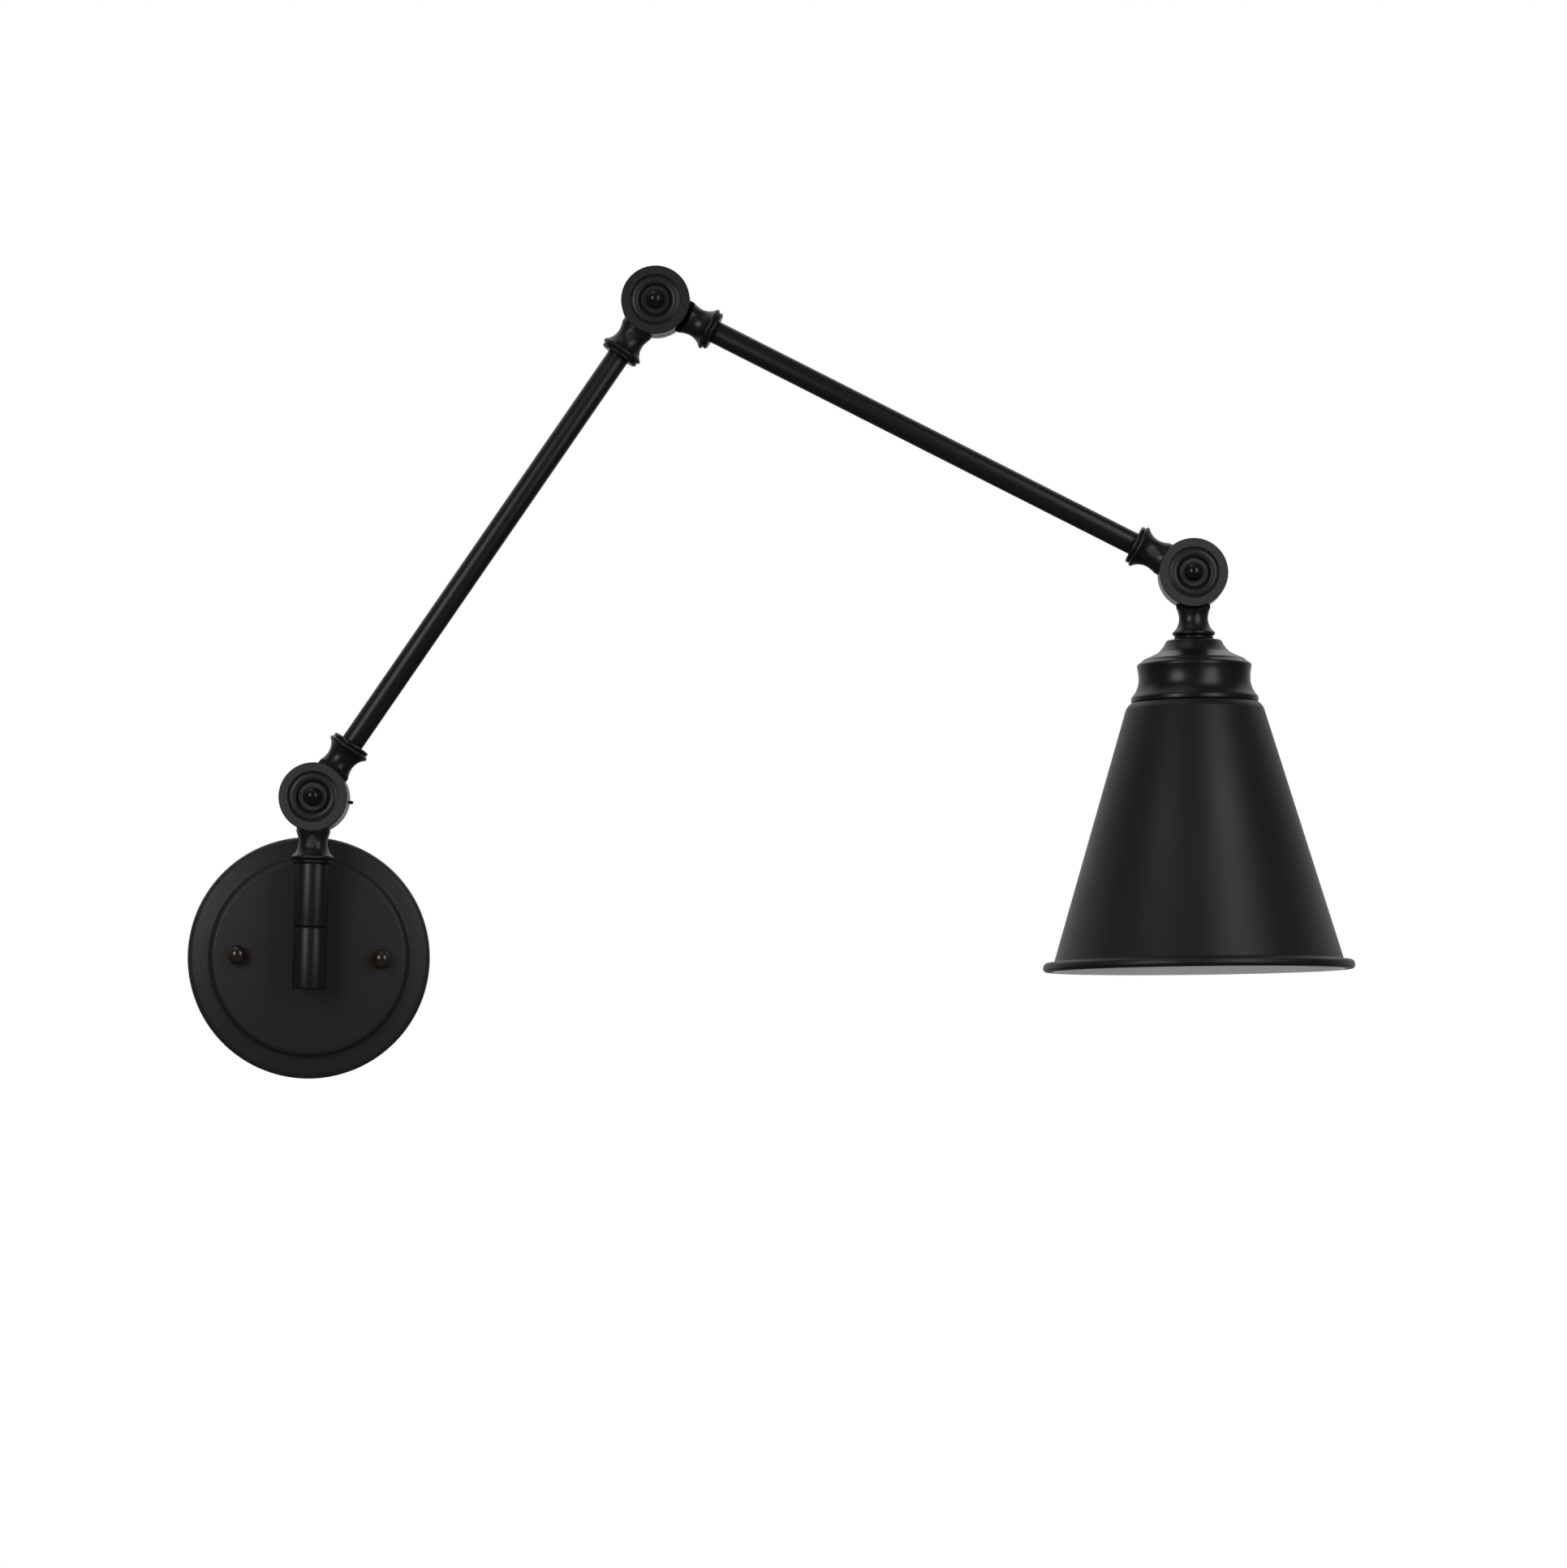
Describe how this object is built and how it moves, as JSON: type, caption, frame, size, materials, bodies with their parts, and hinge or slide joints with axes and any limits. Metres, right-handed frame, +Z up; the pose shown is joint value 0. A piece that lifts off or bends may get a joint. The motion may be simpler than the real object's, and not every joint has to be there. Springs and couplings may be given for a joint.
{
  "type": "articulating wall lamp",
  "caption": "Round-canopy wall lamp with an upright swivel, two tube arms on disc knuckles and a conical metal shade.",
  "frame": {"origin": "centre of the canopy's back, in the wall plane", "axes": "+Z up along the swivel, +Y into the wall, +X to the side that the arms reach at rest"},
  "size_m": [0.5606, 0.152, 0.3974],
  "materials": {
    "satin_black_casting": "satin black lacquer over turned castings",
    "satin_black_tube": "satin black lacquer on drawn tube",
    "canopy_enamel": "satin black lacquer on spun sheet",
    "cup_enamel": "satin black lacquer on spun sheet",
    "shade_enamel": "satin black outside, white enamel inside",
    "gloss_black": "glossy black lacquer",
    "dark_bronze": "glossy dark bronze",
    "zinc_steel": "bright zinc plate",
    "black_fibre": "pressed fibre",
    "moulded_black": "moulded phenolic",
    "socket_brass": "rolled brass",
    "ground_green": "green lacquer"
  },
  "bodies": {
    "wall_plate": {"canopy": "canopy_enamel", "wall_crossbar": "zinc_steel", "crossbar_studs": "zinc_steel", "canopy_ball_nuts": "dark_bronze", "ground_screw": "ground_green", "stem_nipple": "zinc_steel", "stem_lock_washer": "zinc_steel", "stem_lock_nut": "zinc_steel", "stem_collar": "satin_black_tube", "swivel_post": "satin_black_tube", "post_plug": "satin_black_tube", "swivel_washer": "black_fibre"},
    "swivel": {"swivel_spindle": "zinc_steel", "spindle_nut": "zinc_steel", "swivel_sleeve": "satin_black_tube", "base_knuckle": "satin_black_casting", "base_bolt": "zinc_steel", "base_ball_nut": "gloss_black", "base_face_washer": "satin_black_casting", "base_spring_washer": "zinc_steel", "base_friction_washer": "black_fibre", "base_stop_pin": "zinc_steel"},
    "lower_arm": {"lower_arm_foot": "satin_black_casting", "lower_arm_lock_pin": "gloss_black", "lower_arm_tube": "satin_black_tube", "lower_arm_head": "satin_black_casting", "elbow_bolt": "zinc_steel", "elbow_ball_nut": "gloss_black", "elbow_face_washer": "satin_black_casting", "elbow_spring_washer": "zinc_steel", "elbow_friction_washer": "black_fibre", "elbow_stop_pin": "zinc_steel"},
    "upper_arm": {"upper_arm_foot": "satin_black_casting", "upper_arm_tube": "satin_black_tube", "upper_arm_head": "satin_black_casting", "head_bolt": "zinc_steel", "head_ball_nut": "gloss_black", "head_face_washer": "satin_black_casting", "head_spring_washer": "zinc_steel", "head_friction_washer": "black_fibre", "head_stop_pin": "zinc_steel"},
    "lamp_head": {"lamp_knuckle": "satin_black_casting", "shade_cup": "cup_enamel", "cup_lock_nut": "zinc_steel", "socket_body": "moulded_black", "socket_terminals": "socket_brass", "socket_shell": "socket_brass", "socket_contact": "socket_brass", "shade": "shade_enamel", "shade_ring": "moulded_black"}
  },
  "joints": [
    {"name": "swivel_turn", "type": "hinge", "parent": "wall_plate", "child": "swivel", "pos_m": [0, -0.032, 0.0144], "axis": [0, 0, -1], "range_deg": [0, 168]},
    {"name": "base_knuckle_tilt", "type": "hinge", "parent": "swivel", "child": "lower_arm", "pos_m": [0, -0.032, 0.0767], "axis": [0.1045, 0.9945, 0], "range_deg": [-132, 67]},
    {"name": "elbow_knuckle_tilt", "type": "hinge", "parent": "lower_arm", "child": "upper_arm", "pos_m": [0.15779, -0.04858, 0.32195], "axis": [0.1045, 0.9945, 0], "range_deg": [-182, 17]},
    {"name": "head_knuckle_tilt", "type": "hinge", "parent": "upper_arm", "child": "lamp_head", "pos_m": [0.41977, -0.07612, 0.19574], "axis": [0.1045, 0.9945, 0], "range_deg": [-162, 37.5]}
  ]
}
